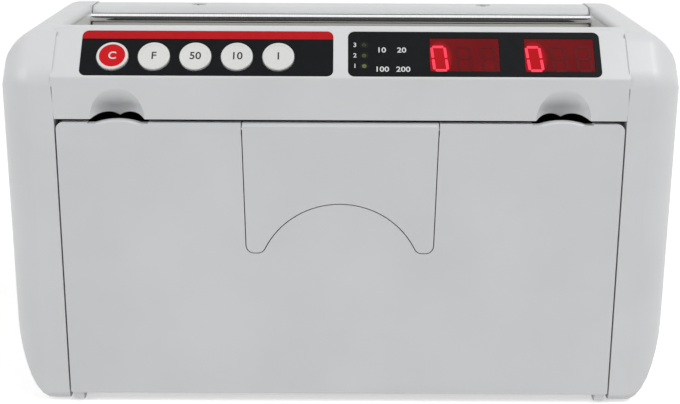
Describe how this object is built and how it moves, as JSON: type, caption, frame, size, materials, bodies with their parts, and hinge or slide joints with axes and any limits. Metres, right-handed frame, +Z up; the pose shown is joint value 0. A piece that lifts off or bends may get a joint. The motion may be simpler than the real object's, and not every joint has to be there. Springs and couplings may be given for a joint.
{
  "type": "banknote counter",
  "caption": "Portable banknote counter with rounded side covers, sloping key and digit panel, open top hopper with guide rod, and a fold-down tray door with a folding note stop.",
  "frame": {"origin": "middle of the footprint, on the surface the rubber feet stand on", "axes": "+X to the viewer's right, along the length; -Y is the front with the tray door; +Z up"},
  "size_m": [0.2074, 0.095, 0.1189],
  "materials": {
    "shell": "satin moulded, pale grey",
    "door_plastic": "satin moulded, pale grey",
    "frame_plastic": "moulded, light grey",
    "rubber": "matt black",
    "steel": "ground",
    "plate_metal": "plain",
    "polished_rod": "polished",
    "label_black": "printed film",
    "red_filter": "dark red filter",
    "key_red": "moulded red",
    "key_grey": "moulded pale grey",
    "board_green": "lacquered board",
    "black_plastic": "moulded black",
    "lamp_green": "tinted lamp",
    "gear_plastic": "natural moulded",
    "pulley_metal": "turned",
    "bush_brass": "sintered"
  },
  "bodies": {
    "housing": {"base_tray": "frame_plastic", "rubber_feet": "rubber", "left_side_cover": "shell", "right_side_cover": "shell", "left_frame": "frame_plastic", "right_frame": "frame_plastic", "tie_bar": "plate_metal", "rear_cover": "shell", "front_bezel": "shell", "case_screws": "steel", "keypad_label": "label_black", "display_label": "label_black", "display_filters": "red_filter", "key_switches": "black_plastic", "control_board": "board_green", "digit_modules": "black_plastic", "level_lamps": "lamp_green", "door_hinge_pins": "steel", "hopper_guide": "black_plastic", "hopper_chute": "frame_plastic", "guide_rod": "polished_rod", "pinch_axle": "steel", "shaft_bushes": "bush_brass", "drive_motor": "steel", "drive_belt": "rubber", "pickup_belt": "rubber", "retard_bracket": "plate_metal", "retard_pads": "rubber", "front_sensor_bar": "board_green", "rear_sensor_bar": "board_green", "magnetic_head": "steel", "encoder_sensor": "black_plastic", "main_board": "board_green", "power_inlet": "black_plastic", "power_switch": "black_plastic"},
    "tray_door": {"tray_door": "door_plastic"},
    "note_stop": {"note_stop": "door_plastic", "stop_hinge_pins": "steel"},
    "clear_key": {"clear_key": "key_red"},
    "function_key": {"function_key": "key_grey"},
    "fifty_key": {"fifty_key": "key_grey"},
    "ten_key": {"ten_key": "key_grey"},
    "one_key": {"one_key": "key_grey"},
    "power_rocker": {"power_rocker": "black_plastic"},
    "feed": {"feed_shaft": "steel", "feed_rollers": "rubber", "feed_gear": "gear_plastic", "drive_pulley": "gear_plastic", "transfer_pulley": "gear_plastic"},
    "pickup": {"pickup_shaft": "steel", "pickup_rollers": "rubber", "pickup_pulley": "gear_plastic"},
    "exit": {"exit_shaft": "steel", "exit_rollers": "rubber", "exit_gear": "gear_plastic", "encoder_disc": "black_plastic"},
    "idler": {"idler_gear": "gear_plastic"},
    "motor": {"motor_pulley": "pulley_metal"},
    "pinch": {"pinch_rollers": "gear_plastic"}
  },
  "joints": [
    {"name": "door_swing", "type": "hinge", "parent": "housing", "child": "tray_door", "pos_m": [0, -0.0447, 0.0062], "axis": [1, 0, 0], "range_deg": [0, 90]},
    {"name": "stop_fold", "type": "hinge", "parent": "tray_door", "child": "note_stop", "pos_m": [0, -0.046, 0.0902], "axis": [1, 0, 0], "range_deg": [0, 75]},
    {"name": "clear_press", "type": "slide", "parent": "housing", "child": "clear_key", "axis": [0, 0.7373, -0.6756], "range_m": [0, 0.0005], "stiffness_N_per_m": 900, "springref_m": -0.0002},
    {"name": "function_press", "type": "slide", "parent": "housing", "child": "function_key", "axis": [0, 0.7373, -0.6756], "range_m": [0, 0.0005], "stiffness_N_per_m": 900, "springref_m": -0.0002},
    {"name": "fifty_press", "type": "slide", "parent": "housing", "child": "fifty_key", "axis": [0, 0.7373, -0.6756], "range_m": [0, 0.0005], "stiffness_N_per_m": 900, "springref_m": -0.0002},
    {"name": "ten_press", "type": "slide", "parent": "housing", "child": "ten_key", "axis": [0, 0.7373, -0.6756], "range_m": [0, 0.0005], "stiffness_N_per_m": 900, "springref_m": -0.0002},
    {"name": "one_press", "type": "slide", "parent": "housing", "child": "one_key", "axis": [0, 0.7373, -0.6756], "range_m": [0, 0.0005], "stiffness_N_per_m": 900, "springref_m": -0.0002},
    {"name": "rocker_tilt", "type": "hinge", "parent": "housing", "child": "power_rocker", "pos_m": [0.05, 0.0431, 0.066], "axis": [1, 0, 0], "range_deg": [-6.4, 0]},
    {"name": "feed_spin", "type": "hinge", "parent": "housing", "child": "feed", "pos_m": [0, 0.01166, 0.05734], "axis": [1, 0, 0], "continuous": true},
    {"name": "pickup_spin", "type": "hinge", "parent": "housing", "child": "pickup", "pos_m": [0, 0.01746, 0.0849], "axis": [1, 0, 0], "continuous": true},
    {"name": "exit_spin", "type": "hinge", "parent": "housing", "child": "exit", "pos_m": [0, 0.00063, 0.03569], "axis": [1, 0, 0], "continuous": true},
    {"name": "idler_spin", "type": "hinge", "parent": "housing", "child": "idler", "pos_m": [0, 0.01449, 0.03957], "axis": [1, 0, 0], "continuous": true},
    {"name": "motor_spin", "type": "hinge", "parent": "housing", "child": "motor", "pos_m": [0, 0.0285, 0.021], "axis": [1, 0, 0], "continuous": true},
    {"name": "pinch_spin", "type": "hinge", "parent": "housing", "child": "pinch", "pos_m": [0, -0.01374, 0.04036], "axis": [1, 0, 0], "continuous": true}
  ],
  "couplings": [
    {"joint": "pickup_spin", "follows": "feed_spin", "ratio": 1},
    {"joint": "exit_spin", "follows": "feed_spin", "ratio": 1.5},
    {"joint": "idler_spin", "follows": "feed_spin", "ratio": -1.5},
    {"joint": "motor_spin", "follows": "feed_spin", "ratio": 3},
    {"joint": "pinch_spin", "follows": "feed_spin", "ratio": -2.25}
  ]
}
